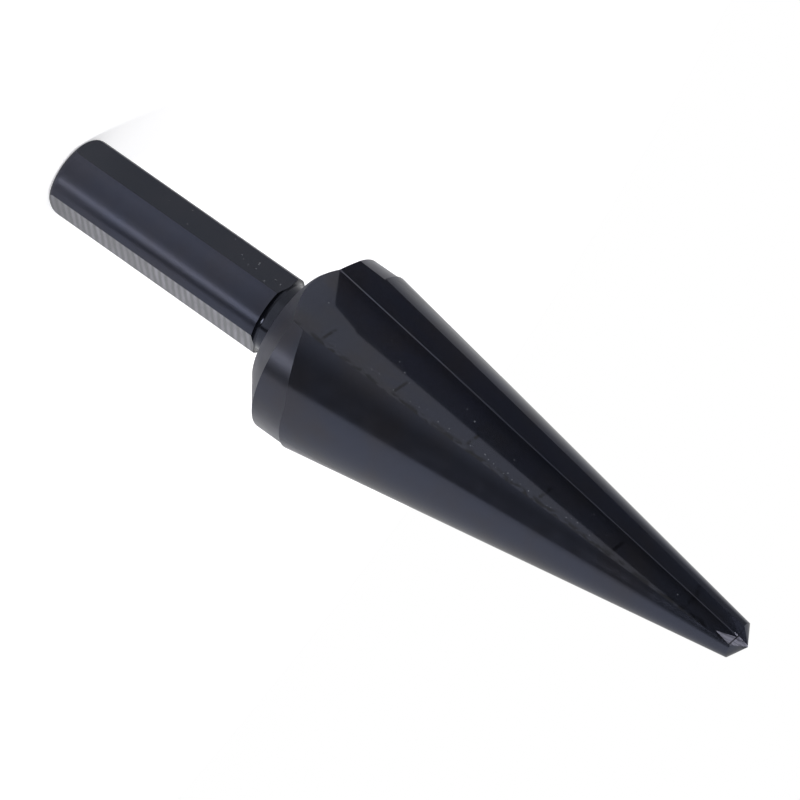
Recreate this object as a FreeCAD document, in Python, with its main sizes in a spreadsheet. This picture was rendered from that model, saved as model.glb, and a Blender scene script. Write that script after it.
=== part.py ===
import FreeCAD, Part
import math
import os

import Sketcher

# Cone drill for sheet metal: a turned and ground bar of tool steel in one piece.
#
# The tool is drawn along its own axis: X runs from the shank to the tip, x = 0 is the big end of
# the cone, and Z is the middle of the flute's mouth. The body then stands on the end of its shank,
# tip up, with the flute to the front. Directions round the axis are angles from +Y towards +Z.
# Lengths are in millimetres and angles in degrees.

NODE = "cone_drill"

SIZES = {
    # Shank, gripped by a three-jaw chuck
    "shank_diameter": 6.0,
    "shank_length": 18.25,
    "shank_end_round": 0.6,
    "flat_depth": 0.29,
    "flat_direction": 71.2,
    # Neck between the shank and the head
    "neck_depth": 0.35,
    "neck_length": 1.6,
    "neck_round": 0.3,
    # Back of the head: a ring, a bevel ground a little off centre, and a round land
    "back_ring_diameter": 9.1,
    "back_bevel_length": 1.9,
    "back_bevel_offset": 0.1,
    "land_diameter": 13.8,
    "land_length": 2.35,
    # Cone and point
    "big_diameter": 14.0,
    "small_diameter": 2.75,
    "cone_length": 33.1,
    "point_angle": 118.0,
    # Relief: from this direction on, the cone's surface falls back towards the heel of the flute
    "relief_direction": 211.5,
    "relief_sweep": 125.0,
    "relief_at_big_end": 0.33,
    # Flute: its root line at both ends of the cone, and the directions of its two walls
    "root_side_big": 3.319,
    "root_height_big": 3.308,
    "root_side_small": 0.08,
    "root_height_small": 0.295,
    "root_radius": 0.12,
    "cutting_wall_direction": 82.5,
    "heel_wall_direction": 159.5,
    # Gash: a second, steeper groove that thins the point, from the end of the cone to the tip
    "gash_length": 2.7,
    "gash_side_at_cone": 0.089,
    "gash_height_at_cone": 0.265,
    "gash_side_at_tip": 0.057,
    "gash_height_at_tip": 0.018,
    "gash_heel_direction": 157.9,
    "gash_lip_direction": 74.0,
    "gash_root_radius": 0.04,
    # How far the cutters reach past the metal that they cut
    "cutter_clearance": 1.0,
}

NECK_RADIUS = "(Sizes.shank_diameter / 2 - Sizes.neck_depth)"
TAIL = "(Sizes.shank_length + Sizes.neck_length + Sizes.back_bevel_length + Sizes.land_length)"
SHANK_FRONT = "(Sizes.neck_length + Sizes.back_bevel_length + Sizes.land_length)"
BACK_RING = "(Sizes.back_bevel_length + Sizes.land_length)"
CONE_FALL = "((Sizes.big_diameter - Sizes.small_diameter) / 2 / Sizes.cone_length)"
POINT_LENGTH = "(Sizes.small_diameter / 2 / tan(Sizes.point_angle / 2 * 1deg))"
BEVEL_RISE = "((Sizes.land_diameter - Sizes.back_ring_diameter) / 2 / Sizes.back_bevel_length)"
CUTTER_REACH = "(Sizes.big_diameter + Sizes.cutter_clearance)"
# The turn that brings X up and Z to the front
STANDING_AXIS = (1, -1, 1)
STANDING_TURN = 120
FLAT_COUNT = 3
FULL_TURN = 360
LENGTH_TOLERANCE = 1e-6
LEAST_SHARE_CUT = 1e-7


def make_sheet(doc):
    """Write every size into the sheet, one row each, with its name as the alias."""
    sheet = doc.addObject("Spreadsheet::Sheet", "Sizes")
    for row, (name, value) in enumerate(SIZES.items(), start=1):
        sheet.set(f"A{row}", name)
        sheet.set(f"B{row}", str(value))
        sheet.setAlias(f"B{row}", name)
    doc.recompute()
    return sheet


def number(owner, expression):
    """Work out an expression of the sheet as a plain number."""
    value = owner.evalExpression(expression)
    return float(getattr(value, "Value", value))


def new_sketch(body, name, role, shift=None, turn_axis=None, turn=None):
    """Attach a sketch to an origin plane of the body, moved by an expression and turned about an axis."""
    plane = next(item for item in body.Origin.OriginFeatures if item.Role == role)
    sketch = body.newObject("Sketcher::SketchObject", name)
    sketch.AttachmentSupport = [(plane, "")]
    sketch.MapMode = "FlatFace"
    if turn is not None:
        start = FreeCAD.Rotation(turn_axis, 1.0)
        sketch.AttachmentOffset = FreeCAD.Placement(FreeCAD.Vector(), start)
        sketch.setExpression("AttachmentOffset.Rotation.Angle", f"({turn}) * 1deg")
    if shift is not None:
        sketch.setExpression("AttachmentOffset.Base.z", f"({shift}) * 1mm")
    return sketch


def place_point(sketch, edge, end, name, across, up):
    """Fix one end of an edge at two expressions, measured from the sketch's origin."""
    for kind, expression, label in (("DistanceX", across, "across"), ("DistanceY", up, "up")):
        value = number(sketch, expression)
        index = sketch.addConstraint(Sketcher.Constraint(kind, -1, 1, edge, end, value))
        sketch.renameConstraint(index, f"{name}_{label}")
        sketch.setExpression(f"Constraints.{name}_{label}", expression)


def draw_outline(sketch, corners):
    """Draw a closed outline of straight edges through named corners, each bound to the sheet."""
    points = []
    for _, across, up in corners:
        points.append(FreeCAD.Vector(number(sketch, across), number(sketch, up), 0))
    edges = []
    for start, end in zip(points, points[1:] + points[:1]):
        edges.append(sketch.addGeometry(Part.LineSegment(start, end), False))
    for before, after in zip(edges, edges[1:] + edges[:1]):
        sketch.addConstraint(Sketcher.Constraint("Coincident", before, 2, after, 1))
    for edge, (name, across, up) in zip(edges, corners):
        place_point(sketch, edge, 1, name, across, up)
    return edges


def cut_metal(doc, feature):
    """Recompute with a new cut and make sure that it takes metal away."""
    before = feature.BaseFeature.Shape.Volume
    doc.recompute()
    after = feature.Shape.Volume
    if after > before * (1 - LEAST_SHARE_CUT):
        raise RuntimeError(f"{feature.Name} cuts nothing: {before:.4f} to {after:.4f}")
    print(f"{feature.Name}: {before - after:.3f} mm3 removed")


def turn_blank(doc, body):
    """Turn the whole outline: shank, neck, head with its back still square, cone and point."""
    sketch = new_sketch(body, "turned_outline", "XZ_Plane")
    shank_radius = "Sizes.shank_diameter / 2"
    corners = [
        ("tail_axis", f"-{TAIL}", "0"),
        ("tail_edge", f"-{TAIL}", shank_radius),
        ("shank_front", f"-{SHANK_FRONT}", shank_radius),
        ("neck_back", f"-{SHANK_FRONT}", NECK_RADIUS),
        ("neck_front", f"-{BACK_RING}", NECK_RADIUS),
        ("back_corner", f"-{BACK_RING}", "Sizes.land_diameter / 2"),
        ("land_front", "0", "Sizes.land_diameter / 2"),
        ("cone_start", "0", "Sizes.big_diameter / 2"),
        ("cone_end", "Sizes.cone_length", "Sizes.small_diameter / 2"),
        ("tip", f"Sizes.cone_length + {POINT_LENGTH}", "0"),
    ]
    draw_outline(sketch, corners)
    blank = body.newObject("PartDesign::Revolution", "turned_blank")
    blank.Profile = sketch
    blank.ReferenceAxis = (sketch, ["H_Axis"])
    blank.Angle = FULL_TURN
    doc.recompute()


def circle_edges(body, places, radius):
    """Find the round edges of one radius at some places along the axis."""
    size = number(body, radius)
    spots = [number(body, place) for place in places]
    names = []
    for index, edge in enumerate(body.Tip.Shape.Edges, start=1):
        curve = edge.Curve
        if not isinstance(curve, Part.Circle) or abs(curve.Radius - size) > LENGTH_TOLERANCE:
            continue
        if min(abs(curve.Center.x - spot) for spot in spots) < LENGTH_TOLERANCE:
            names.append(f"Edge{index}")
    return names


def round_edges(doc, body, name, places, radius):
    """Round the circular edges of one radius at some places by the size of the same name."""
    base = body.Tip
    edges = circle_edges(body, places, radius)
    fillet = body.newObject("PartDesign::Fillet", name)
    fillet.Base = (base, edges)
    fillet.setExpression("Radius", f"Sizes.{name}")
    doc.recompute()


def grind_back_bevel(doc, body):
    """Grind the back of the head to a bevel whose axis lies a little beside the tool's own."""
    sketch = new_sketch(body, "back_bevel_outline", "XZ_Plane", shift="Sizes.back_bevel_offset")
    reach = "Sizes.cutter_clearance"
    low = f"Sizes.back_ring_diameter / 2 - {BEVEL_RISE} * {reach}"
    high = f"Sizes.land_diameter / 2 + {BEVEL_RISE} * {reach}"
    corners = [
        ("inside", f"-{BACK_RING} - {reach}", low),
        ("outside", f"-Sizes.land_length + {reach}", high),
        ("behind", f"-{BACK_RING} - {reach}", high),
    ]
    draw_outline(sketch, corners)
    bevel = body.newObject("PartDesign::Groove", "back_bevel")
    bevel.Profile = sketch
    bevel.ReferenceAxis = (sketch, ["H_Axis"])
    bevel.Angle = FULL_TURN
    cut_metal(doc, bevel)


def grind_relief(doc, body):
    """Relieve the cone towards the heel.

    The cone's own outline is turned about an axis that leans away, through the apex of the cone.
    """
    x_axis = FreeCAD.Vector(1, 0, 0)
    turn = "Sizes.relief_direction - 90"
    sketch = new_sketch(body, "relief_outline", "XZ_Plane", turn_axis=x_axis, turn=turn)
    back = BACK_RING
    front = f"(Sizes.cone_length + {POINT_LENGTH} + Sizes.cutter_clearance)"
    outside = f"Sizes.big_diameter / 2 + {CONE_FALL} * {back} + Sizes.cutter_clearance"
    corners = [
        ("cone_back", f"-{back}", f"Sizes.big_diameter / 2 + {CONE_FALL} * {back}"),
        ("cone_front", front, f"Sizes.big_diameter / 2 - {CONE_FALL} * {front}"),
        ("outside_front", front, outside),
        ("outside_back", f"-{back}", outside),
    ]
    draw_outline(sketch, corners)
    apex = f"Sizes.big_diameter / 2 / {CONE_FALL}"
    start = FreeCAD.Vector(0, number(sketch, "Sizes.relief_at_big_end"), 0)
    end = FreeCAD.Vector(number(sketch, apex), 0, 0)
    axis = sketch.addGeometry(Part.LineSegment(start, end), True)
    place_point(sketch, axis, 1, "relief_axis_back", "0", "Sizes.relief_at_big_end")
    place_point(sketch, axis, 2, "relief_axis_apex", apex, "0")
    relief = body.newObject("PartDesign::Groove", "cone_relief")
    relief.Profile = sketch
    relief.ReferenceAxis = (sketch, ["Axis0"])
    relief.setExpression("Angle", "Sizes.relief_sweep")
    relief.Reversed = True
    cut_metal(doc, relief)


def mill_flats(doc, body):
    """Mill three flats along the shank for the jaws of the chuck, out over the neck."""
    z_axis = FreeCAD.Vector(0, 0, 1)
    turn = "Sizes.flat_direction - 90"
    front = f"({BACK_RING} + Sizes.neck_length / 2)"
    sketch = new_sketch(body, "flat_outline", "YZ_Plane", f"-{front}", z_axis, turn)
    half_width = "Sizes.shank_diameter / 2"
    floor = "Sizes.shank_diameter / 2 - Sizes.flat_depth"
    top = "Sizes.shank_diameter / 2 + Sizes.cutter_clearance"
    corners = [
        ("floor_near", f"-{half_width}", floor),
        ("floor_far", half_width, floor),
        ("top_far", half_width, top),
        ("top_near", f"-{half_width}", top),
    ]
    draw_outline(sketch, corners)
    flat = body.newObject("PartDesign::Pocket", "shank_flat")
    flat.Profile = sketch
    flat.setExpression("Length", f"{TAIL} - {front} + Sizes.cutter_clearance")
    cut_metal(doc, flat)
    pattern = body.newObject("PartDesign::PolarPattern", "shank_flats")
    pattern.Originals = [flat]
    pattern.Axis = (next(item for item in body.Origin.OriginFeatures if item.Role == "X_Axis"), [""])
    pattern.Angle = FULL_TURN
    pattern.Occurrences = FLAT_COUNT
    body.Tip = pattern
    doc.recompute()


def cut_vee(doc, body, name, start, end, walls, radius):
    """Cut a straight V groove with a rounded root.

    start and end are (x, y, z) expressions of the sharp root line's ends, walls are the
    directions of the two walls from the root, and radius rounds the root.
    """
    sketch = new_sketch(body, f"{name}_outline", "YZ_Plane", shift=start[0])
    root = FreeCAD.Vector(number(sketch, start[1]), number(sketch, start[2]), 0)
    angles = [math.radians(number(sketch, wall)) for wall in walls]
    first, second = [FreeCAD.Vector(math.cos(angle), math.sin(angle), 0) for angle in angles]
    half = (angles[1] - angles[0]) / 2
    rounding = number(sketch, radius)
    reach = number(sketch, CUTTER_REACH)
    middle = FreeCAD.Vector(math.cos(angles[0] + half), math.sin(angles[0] + half), 0)
    tangent = rounding / math.tan(half)
    centre = root + middle * (rounding / math.sin(half))
    side_one = sketch.addGeometry(Part.LineSegment(root + first * tangent, root + first * reach), False)
    mouth = sketch.addGeometry(Part.LineSegment(root + first * reach, root + second * reach), False)
    side_two = sketch.addGeometry(Part.LineSegment(root + second * reach, root + second * tangent), False)
    # The round at the root faces away from the mouth
    low, high = angles[1] + math.pi / 2, angles[0] + 3 * math.pi / 2
    circle = Part.Circle(centre, FreeCAD.Vector(0, 0, 1), rounding)
    arc = sketch.addGeometry(Part.ArcOfCircle(circle, low, high), False)
    mark = sketch.addGeometry(Part.Point(root), True)
    sketch.addConstraint(Sketcher.Constraint("Coincident", side_one, 2, mouth, 1))
    sketch.addConstraint(Sketcher.Constraint("Coincident", mouth, 2, side_two, 1))
    sketch.addConstraint(Sketcher.Constraint("Tangent", side_two, 2, arc, 1))
    sketch.addConstraint(Sketcher.Constraint("Tangent", arc, 2, side_one, 1))
    place_point(sketch, mark, 1, "root", start[1], start[2])
    sketch.addConstraint(Sketcher.Constraint("PointOnObject", mark, 1, side_one))
    sketch.addConstraint(Sketcher.Constraint("PointOnObject", mark, 1, side_two))
    wall_one = Sketcher.Constraint("Angle", -1, 1, side_one, 1, angles[0])
    wall_two = Sketcher.Constraint("Angle", -1, 1, side_two, 2, angles[1])
    bound = (
        ("root_radius", Sketcher.Constraint("Radius", arc, rounding), radius),
        ("wall_one", wall_one, f"{walls[0]} * 1deg"),
        ("wall_two", wall_two, f"{walls[1]} * 1deg"),
        ("reach_one", Sketcher.Constraint("Distance", mark, 1, side_one, 2, reach), CUTTER_REACH),
        ("reach_two", Sketcher.Constraint("Distance", mark, 1, side_two, 1, reach), CUTTER_REACH),
    )
    for label, constraint, expression in bound:
        index = sketch.addConstraint(constraint)
        sketch.renameConstraint(index, label)
        sketch.setExpression(f"Constraints.{label}", expression)
    cut = body.newObject("PartDesign::Pocket", name)
    cut.Profile = sketch
    cut.UseCustomVector = True
    cut.AlongSketchNormal = True
    for axis, low_end, high_end in zip("xyz", start, end):
        cut.setExpression(f"Direction.{axis}", f"({high_end}) - ({low_end})")
    cut.setExpression("Length", f"({end[0]}) - ({start[0]})")
    cut_metal(doc, cut)


def along(place, start, end, length):
    """Write a straight line's value at a place, from its values at 0 and at a length."""
    return f"({start} + ({end} - {start}) * ({place}) / {length})"


def root_line(name, places, origin, length):
    """Write the ends of a groove's root line, from its side and height at two named places."""
    ends = []
    for place in places:
        side = along(place, f"Sizes.{name}_side_{origin[0]}", f"Sizes.{name}_side_{origin[1]}", length)
        height = along(
            place, f"Sizes.{name}_height_{origin[0]}", f"Sizes.{name}_height_{origin[1]}", length
        )
        ends.append((side, height))
    return ends


def cut_flute(doc, body):
    """Cut the straight flute: a cutting wall, a wide wall up to the heel and a small round between."""
    behind = f"-{BACK_RING} - Sizes.cutter_clearance"
    ahead = f"Sizes.cone_length + {POINT_LENGTH} + Sizes.cutter_clearance"
    low, high = root_line("root", (behind, ahead), ("big", "small"), "Sizes.cone_length")
    walls = ("Sizes.cutting_wall_direction", "Sizes.heel_wall_direction")
    cut_vee(doc, body, "flute", (behind, *low), (ahead, *high), walls, "Sizes.root_radius")


def cut_gash(doc, body):
    """Thin the point with a steep V groove, so that the lip runs on towards the middle."""
    behind = "-Sizes.gash_length"
    ahead = f"{POINT_LENGTH} + Sizes.cutter_clearance"
    low, high = root_line("gash", (behind, ahead), ("at_cone", "at_tip"), POINT_LENGTH)
    start = (f"Sizes.cone_length + {behind}", *low)
    end = (f"Sizes.cone_length + {ahead}", *high)
    walls = ("Sizes.gash_lip_direction", "Sizes.gash_heel_direction")
    cut_vee(doc, body, "point_gash", start, end, walls, "Sizes.gash_root_radius")


def stand_up(doc, body):
    """Stand the drill on the end of its shank, with the origin under its axis."""
    turn = FreeCAD.Rotation(FreeCAD.Vector(*STANDING_AXIS), STANDING_TURN)
    body.Placement = FreeCAD.Placement(FreeCAD.Vector(), turn)
    body.setExpression("Placement.Base.z", f"{TAIL} * 1mm")
    doc.recompute()


def make_part():
    """Make the document with its sheet of sizes and the drill, and return both."""
    doc = FreeCAD.newDocument("cone_drill")
    make_sheet(doc)
    body = doc.addObject("PartDesign::Body", "Drill")
    body.Label = NODE
    turn_blank(doc, body)
    round_edges(doc, body, "shank_end_round", [f"-{TAIL}"], "Sizes.shank_diameter / 2")
    ends = [f"-{SHANK_FRONT}", f"-{BACK_RING}"]
    round_edges(doc, body, "neck_round", ends, NECK_RADIUS)
    grind_back_bevel(doc, body)
    grind_relief(doc, body)
    mill_flats(doc, body)
    cut_flute(doc, body)
    cut_gash(doc, body)
    stand_up(doc, body)
    return doc, body


def check_part(doc, body):
    """Stop unless every object was worked out and the drill is one valid solid."""
    for item in doc.Objects:
        if "Invalid" in item.State or "Error" in item.State:
            raise RuntimeError(f"{item.Name} failed: {item.State}")
    shape = body.Shape
    if shape.isNull() or not shape.isValid() or len(shape.Solids) != 1:
        raise RuntimeError(f"{body.Label} isn't one valid solid")


def write_part(body):
    """Write the drill's shape to a file named after its label."""
    os.makedirs("parts", exist_ok=True)
    body.Shape.exportStep(f"parts/{body.Label}.step")
    print(f"{body.Label}: {body.Shape.Volume:.3f} mm3, {body.Shape.BoundBox}")


document, drill = make_part()
check_part(document, drill)
write_part(drill)
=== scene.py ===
"""Cone drill for sheet metal: the dressed model, its floor, its light and its camera.

The drill is one bar of tool steel that stands on the end of its shank. Its turned blank is a skin
of columns round the axis, its flats, flute and gash are cut out of that, and each surface keeps
the finish of the tool that made it. Lengths are written in millimetres and directions in degrees,
measured round the axis from +X towards +Y. Meshes are in metres.
"""

import logging
import math
from collections.abc import Callable
from dataclasses import dataclass, field
from enum import Enum

import bmesh
import bpy
from bpy.types import Material, NodeSocket, NodeTree, Object
from mathutils import Matrix, Vector


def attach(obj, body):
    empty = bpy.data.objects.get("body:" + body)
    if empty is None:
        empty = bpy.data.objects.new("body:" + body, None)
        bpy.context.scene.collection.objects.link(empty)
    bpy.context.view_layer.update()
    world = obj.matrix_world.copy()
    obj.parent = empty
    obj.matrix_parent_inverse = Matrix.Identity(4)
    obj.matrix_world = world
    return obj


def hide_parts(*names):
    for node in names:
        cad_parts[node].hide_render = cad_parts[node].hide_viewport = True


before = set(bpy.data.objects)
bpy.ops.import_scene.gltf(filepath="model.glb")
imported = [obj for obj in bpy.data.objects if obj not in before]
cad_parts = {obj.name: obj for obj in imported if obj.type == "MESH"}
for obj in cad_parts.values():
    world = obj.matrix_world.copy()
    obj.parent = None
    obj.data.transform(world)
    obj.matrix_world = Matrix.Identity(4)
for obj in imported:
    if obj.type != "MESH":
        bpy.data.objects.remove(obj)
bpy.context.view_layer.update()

MM = 0.001
NODE = "cone_drill"
BODY = "root"
UP = Vector((0.0, 0.0, 1.0))
# Unit vectors whose product is above this count as parallel.
PARALLEL = 0.99999
# Points nearer to each other than this are one point, in metres.
SAME_POINT = 1e-8
# A cut this near to a point goes through it, in metres.
NO_GAP = 1e-9
# The share of a turn by which a stretched light is laid along the axis and not round it.
QUARTER_TURN = 0.25

log = logging.getLogger("cone_drill")


def linear(colour: str) -> tuple[float, float, float, float]:
    """Turn an sRGB hex colour into the linear one that a shader socket takes.

    Args:
        colour: The colour as "#rrggbb".

    Returns:
        Red, green, blue and an alpha of one.
    """
    values = []
    for start in (1, 3, 5):
        value = int(colour[start : start + 2], 16) / 255
        values.append(value / 12.92 if value <= 0.04045 else ((value + 0.055) / 1.055) ** 2.4)
    return (*values, 1.0)


def add_node(
    tree: NodeTree,
    kind: str,
    values: dict[str | int, object] | None = None,
    links: dict[str | int, NodeSocket] | None = None,
    **settings: object,
) -> bpy.types.Node:
    """Add a node with its settings, its socket values and its links.

    Args:
        tree: The node tree that gets the node.
        kind: The node's type name.
        values: Plain values by input name or number.
        links: Output sockets by the input name or number that they feed.
        settings: The node's own properties.

    Returns:
        The new node.
    """
    node = tree.nodes.new(kind)
    for name, setting in settings.items():
        setattr(node, name, setting)
    for key, value in (values or {}).items():
        node.inputs[key].default_value = value
    for key, socket in (links or {}).items():
        tree.links.new(socket, node.inputs[key])
    return node


def calculate(tree: NodeTree, kind: str, *terms: NodeSocket | float) -> NodeSocket:
    """Add one step of arithmetic.

    Args:
        tree: The node tree.
        kind: The operation's name.
        terms: Its terms, each a socket or a plain number.

    Returns:
        The socket that holds the result.
    """
    links = {i: term for i, term in enumerate(terms) if isinstance(term, NodeSocket)}
    values = {i: term for i, term in enumerate(terms) if i not in links}
    return add_node(tree, "ShaderNodeMath", values, links, operation=kind).outputs[0]


def direction(degrees: float) -> Vector:
    """Return the level unit vector that points in a direction round the axis."""
    return Vector((math.cos(math.radians(degrees)), math.sin(math.radians(degrees)), 0.0))


class Surface(Enum):
    """The ways in which the drill's surfaces were made."""

    TURNED = "turned_shank"
    NECK = "turned_neck"
    MILLED = "milled_flat"
    BACK = "ground_back"
    CONE = "ground_cone"
    FLUTE = "ground_flute"
    GASH = "ground_gash"


def place_in_mm(tree: NodeTree) -> NodeSocket:
    """Return the place of a shaded point on the drill, in millimetres."""
    spot = add_node(tree, "ShaderNodeTexCoord").outputs["Object"]
    return add_node(
        tree, "ShaderNodeVectorMath", {"Scale": 1 / MM}, {0: spot}, operation="SCALE"
    ).outputs[0]


def distance_along(tree: NodeTree, place: NodeSocket, way: Vector) -> NodeSocket:
    """Return how far a place lies from the origin along a unit vector."""
    return add_node(
        tree, "ShaderNodeVectorMath", {1: way}, {0: place}, operation="DOT_PRODUCT"
    ).outputs["Value"]


def ramp(
    tree: NodeTree,
    value: NodeSocket,
    ends: tuple[float, float],
    levels: tuple[float, float] = (0.0, 1.0),
) -> NodeSocket:
    """Turn a value into a smooth step from one level to another.

    Args:
        tree: The node tree.
        value: The value.
        ends: The values at which the step starts and ends.
        levels: The levels below and above it.

    Returns:
        The socket of the level.
    """
    step = add_node(
        tree,
        "ShaderNodeMapRange",
        {"From Min": ends[0], "From Max": ends[1], "To Min": levels[0], "To Max": levels[1]},
        {"Value": value},
        interpolation_type="SMOOTHSTEP",
    )
    return step.outputs["Result"]


def band(
    tree: NodeTree, value: NodeSocket, middle: float, half: float, soft: float
) -> NodeSocket:
    """Return one where a value lies inside a band and nought outside it, with soft edges."""
    away = calculate(tree, "ABSOLUTE", calculate(tree, "SUBTRACT", value, middle))
    return ramp(tree, away, (half - soft / 2, half + soft / 2), (1.0, 0.0))


def grain(
    tree: NodeTree,
    place: NodeSocket,
    way: Vector,
    length: float,
    width: float,
    detail: float = 2.0,
) -> NodeSocket:
    """Return noise whose marks have one length along a direction and one width across it.

    Args:
        tree: The node tree.
        place: The place, in millimetres.
        way: The direction of the marks.
        length: Their length, in millimetres.
        width: Their width, in millimetres.
        detail: How many finer layers the noise has.

    Returns:
        The socket of the noise, from nought to one.
    """
    along = distance_along(tree, place, way)
    extra = calculate(tree, "MULTIPLY", along, 1 / length - 1 / width)
    pull = add_node(
        tree, "ShaderNodeVectorMath", {0: way}, {"Scale": extra}, operation="SCALE"
    ).outputs[0]
    base = add_node(
        tree, "ShaderNodeVectorMath", {"Scale": 1 / width}, {0: place}, operation="SCALE"
    ).outputs[0]
    spot = add_node(tree, "ShaderNodeVectorMath", links={0: base, 1: pull}, operation="ADD")
    noise = add_node(
        tree, "ShaderNodeTexNoise", {"Scale": 1.0, "Detail": detail}, {"Vector": spot.outputs[0]}
    )
    return noise.outputs[0]


def blend(
    tree: NodeTree,
    share: NodeSocket,
    first: NodeSocket | str,
    second: NodeSocket | str,
) -> NodeSocket:
    """Mix two colours.

    Args:
        tree: The node tree.
        share: How much of the second colour shows, from nought to one.
        first: The first colour, as a socket or as "#rrggbb".
        second: The second colour, the same way.

    Returns:
        The socket of the mixed colour.
    """
    node = add_node(tree, "ShaderNodeMix", links={0: share}, data_type="RGBA")
    for key, colour in ((6, first), (7, second)):
        if isinstance(colour, str):
            node.inputs[key].default_value = linear(colour)
        else:
            tree.links.new(colour, node.inputs[key])
    return node.outputs[2]


def clear_tree(owner: Material | bpy.types.World) -> NodeTree:
    """Give a material or a world an empty node tree.

    Args:
        owner: The material or the world.

    Returns:
        Its node tree.
    """
    owner.use_nodes = True
    owner.node_tree.nodes.clear()
    return owner.node_tree


def declare_inputs(tree: NodeTree, kinds: dict[str, str]) -> bpy.types.NodeOutputs:
    """Give a Geometry Nodes tree its named inputs and its one output.

    Args:
        tree: The tree.
        kinds: The kind of each input's socket, by name.

    Returns:
        The sockets that hold the inputs inside the tree.
    """
    for name, kind in kinds.items():
        tree.interface.new_socket(name, in_out="INPUT", socket_type="NodeSocket" + kind)
    tree.interface.new_socket("Geometry", in_out="OUTPUT", socket_type="NodeSocketGeometry")
    return tree.nodes.new("NodeGroupInput").outputs


def make_real(tree: NodeTree, copies: NodeSocket, finish: Material) -> None:
    """End a Geometry Nodes tree: turn its instances into plain mesh with one finish.

    Args:
        tree: The tree.
        copies: The socket of the instances.
        finish: The material that they get.
    """
    real = add_node(tree, "GeometryNodeRealizeInstances", links={"Geometry": copies})
    dressed = add_node(
        tree, "GeometryNodeSetMaterial", {"Material": finish}, {"Geometry": real.outputs[0]}
    )
    add_node(tree, "NodeGroupOutput", links={0: dressed.outputs["Geometry"]})


@dataclass(frozen=True)
class BlackSteel:
    """High-speed steel, blackened in a hot oxide bath and oiled.

    The thin oxide keeps the shape of the tool marks under it: a dark grey mirror with a little
    blue, which turns pale where it is seen at a flat angle. A fifth of it scatters light, which is
    the haze of the oxide itself. Sizes are in millimetres. Real tool marks are a few hundredths
    of a millimetre apart, which is too fine to show, so they are drawn 0.1 mm apart or more.
    The edge is how bright the steel turns at a flat angle, and a stretch of one draws a light out
    into a streak along the axis.
    """

    name: str
    colour: str = "#3a3d49"
    stain: str = "#3c3c43"
    stain_size: float = 4.0
    stain_share: tuple[float, float] = (0.35, 0.7)
    metallic: float = 0.8
    roughness: float = 0.12
    uneven: float = 0.05
    uneven_size: float = 1.2
    uneven_share: tuple[float, float] = (0.3, 0.7)
    edge: float = 1.0
    stretch: float = 0.0
    relief: float = 0.0002
    mark_way: tuple[float, float, float] = (0.0, 0.0, 1.0)
    mark_length: float = 0.12
    mark_width: float = 2.5

    def marks(self, tree: NodeTree, place: NodeSocket) -> NodeSocket:
        """Return the height of the tool marks, from nought to one."""
        return grain(tree, place, Vector(self.mark_way), self.mark_length, self.mark_width)

    def tint(self, tree: NodeTree, place: NodeSocket, marks: NodeSocket) -> NodeSocket:
        """Return the colour: the oxide with broad clouds where it is thicker and browner.

        Args:
            tree: The material's tree.
            place: The place, in millimetres.
            marks: The height of the tool marks; not used here.

        Returns:
            The socket of the colour.
        """
        clouds = grain(tree, place, UP, self.stain_size, self.stain_size)
        return blend(tree, ramp(tree, clouds, self.stain_share), self.colour, self.stain)

    def make(self) -> Material:
        """Build the material.

        Returns:
            The material.
        """
        material = bpy.data.materials.new(self.name)
        tree = clear_tree(material)
        place = place_in_mm(tree)
        marks = self.marks(tree, place)
        patchy = grain(tree, place, UP, self.uneven_size, self.uneven_size)
        roughest = self.roughness + self.uneven
        rough = ramp(tree, patchy, self.uneven_share, (self.roughness, roughest))
        bump = add_node(
            tree,
            "ShaderNodeBump",
            {"Distance": self.relief * MM, "Strength": 1.0},
            {"Height": marks},
        )
        links = {
            "Base Color": self.tint(tree, place, marks),
            "Roughness": rough,
            "Normal": bump.outputs[0],
        }
        if self.stretch:
            round_axis = add_node(tree, "ShaderNodeTangent", direction_type="RADIAL", axis="Z")
            links["Tangent"] = round_axis.outputs[0]
        shader = add_node(
            tree,
            "ShaderNodeBsdfPrincipled",
            {
                "Metallic": self.metallic,
                "Specular Tint": (self.edge, self.edge, self.edge, 1.0),
                "Anisotropic": self.stretch,
                "Anisotropic Rotation": QUARTER_TURN,
            },
            links,
        )
        add_node(tree, "ShaderNodeOutputMaterial", links={"Surface": shader.outputs["BSDF"]})
        return material


@dataclass(frozen=True)
class TurnedSteel(BlackSteel):
    """Blackened steel turned and polished round the axis, which draws lights out along it."""

    pit_size: float = 0.22
    pit_layers: float = 3.0
    pit_depth: float = 0.7

    def marks(self, tree: NodeTree, place: NodeSocket) -> NodeSocket:
        """Return the height of the rings and of the oxide's pits, which roughen a light's edge.

        Args:
            tree: The material's tree.
            place: The place, in millimetres.

        Returns:
            The socket of the height.
        """
        pits = grain(tree, place, UP, self.pit_size, self.pit_size, self.pit_layers)
        pits = calculate(tree, "MULTIPLY", pits, self.pit_depth)
        return calculate(tree, "ADD", pits, super().marks(tree, place))


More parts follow.
